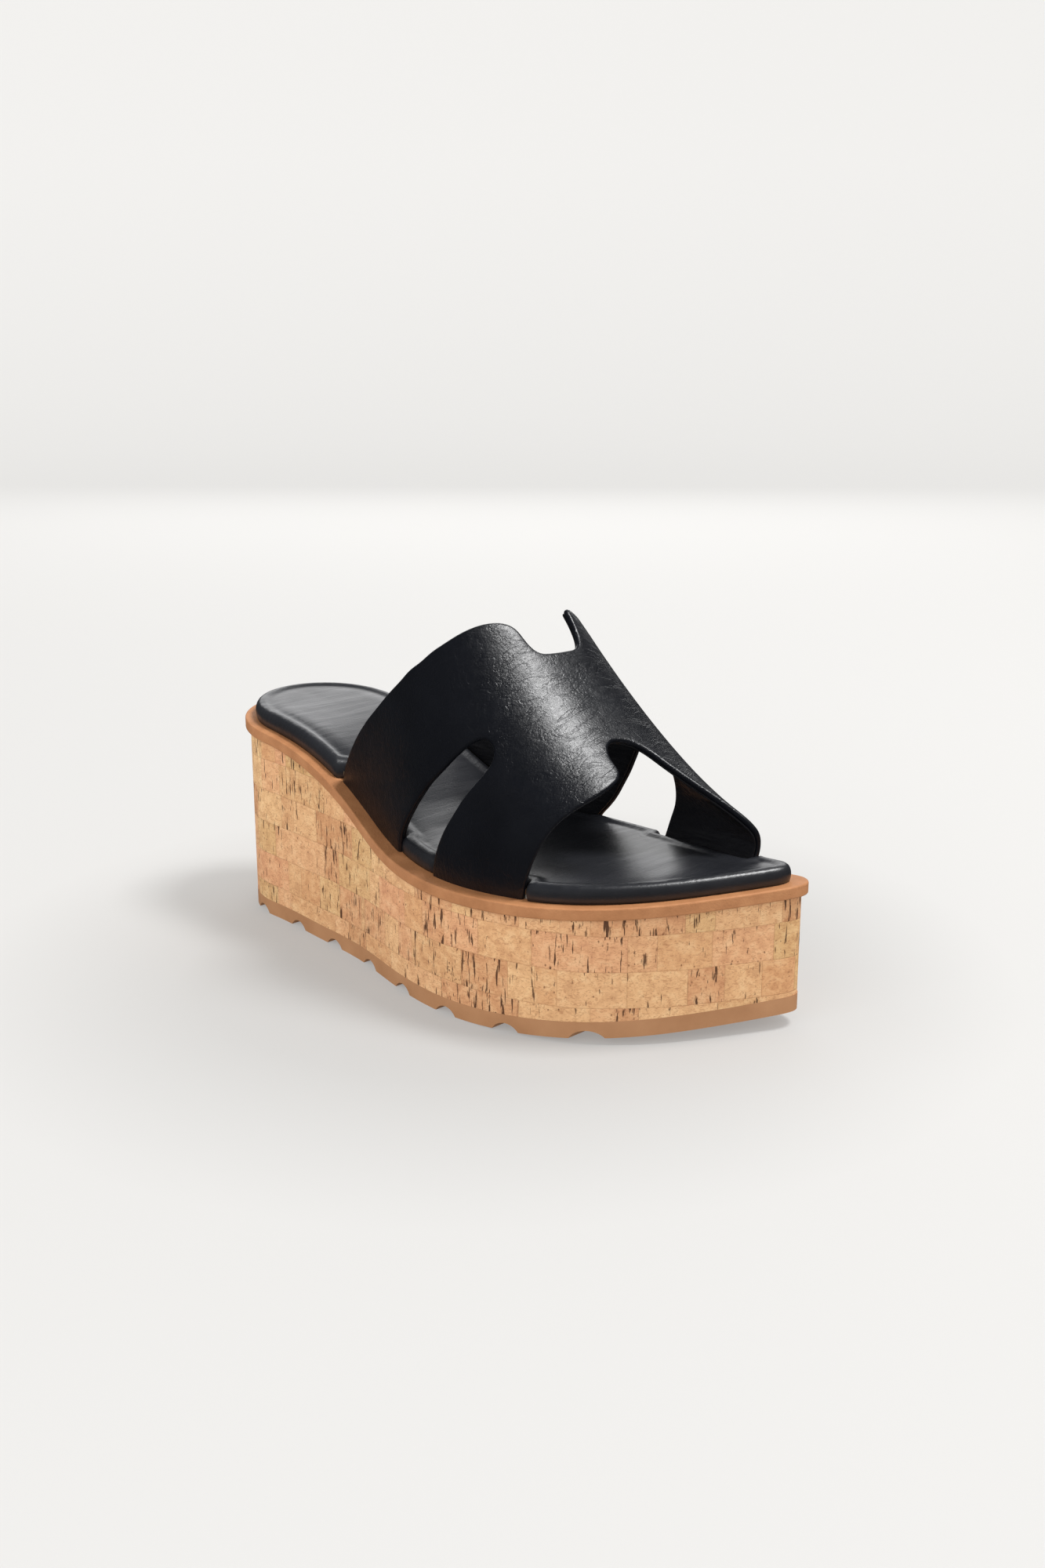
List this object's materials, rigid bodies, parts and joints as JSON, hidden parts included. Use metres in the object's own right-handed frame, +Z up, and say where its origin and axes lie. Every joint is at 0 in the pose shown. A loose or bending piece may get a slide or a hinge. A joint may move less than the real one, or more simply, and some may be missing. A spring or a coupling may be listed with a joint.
{
  "type": "wedge sandal",
  "caption": "Right slip-on wedge sandal: cork-covered platform wedge, grooved outsole, padded footbed and a wide strap with a side slot and notches at the instep.",
  "frame": {"origin": "on the ground under the middle of the sandal's box", "axes": "+X from heel to toe, +Y towards the inner (big toe) side, +Z up"},
  "size_m": [0.2534, 0.097, 0.1354],
  "materials": {
    "outsole_rubber": "smooth moulded tan rubber, satin",
    "foam": "closed-cell EVA foam",
    "cork": "patchwork natural cork sheet with dark streaks, matt",
    "rand_leather": "tan grained leather board, satin",
    "felt": "needled felt",
    "spring_steel": "blued strip",
    "fastener_steel": "plated wire",
    "fibre_board": "cellulose insole board",
    "footbed_leather": "black leather with fine cross grain, satin",
    "strap_leather": "smooth black leather, semi-gloss",
    "textile": "woven stiffener",
    "lining_leather": "thin black coated lining, slightly wrinkled"
  },
  "bodies": {
    "root": {"outsole": "outsole_rubber", "wedge_core": "foam", "cork_wrap": "cork", "rand": "rand_leather", "midsole_plate": "foam", "bottom_filler": "felt", "steel_shank": "spring_steel", "shank_rivets": "fastener_steel", "insole_board": "fibre_board", "footbed_foam": "foam", "footbed_cover": "footbed_leather", "upper_leather": "strap_leather", "upper_interlining": "textile", "upper_lining": "lining_leather", "lasting_tacks": "fastener_steel", "heel_nails": "fastener_steel", "heel_screw": "fastener_steel"}
  },
  "joints": []
}
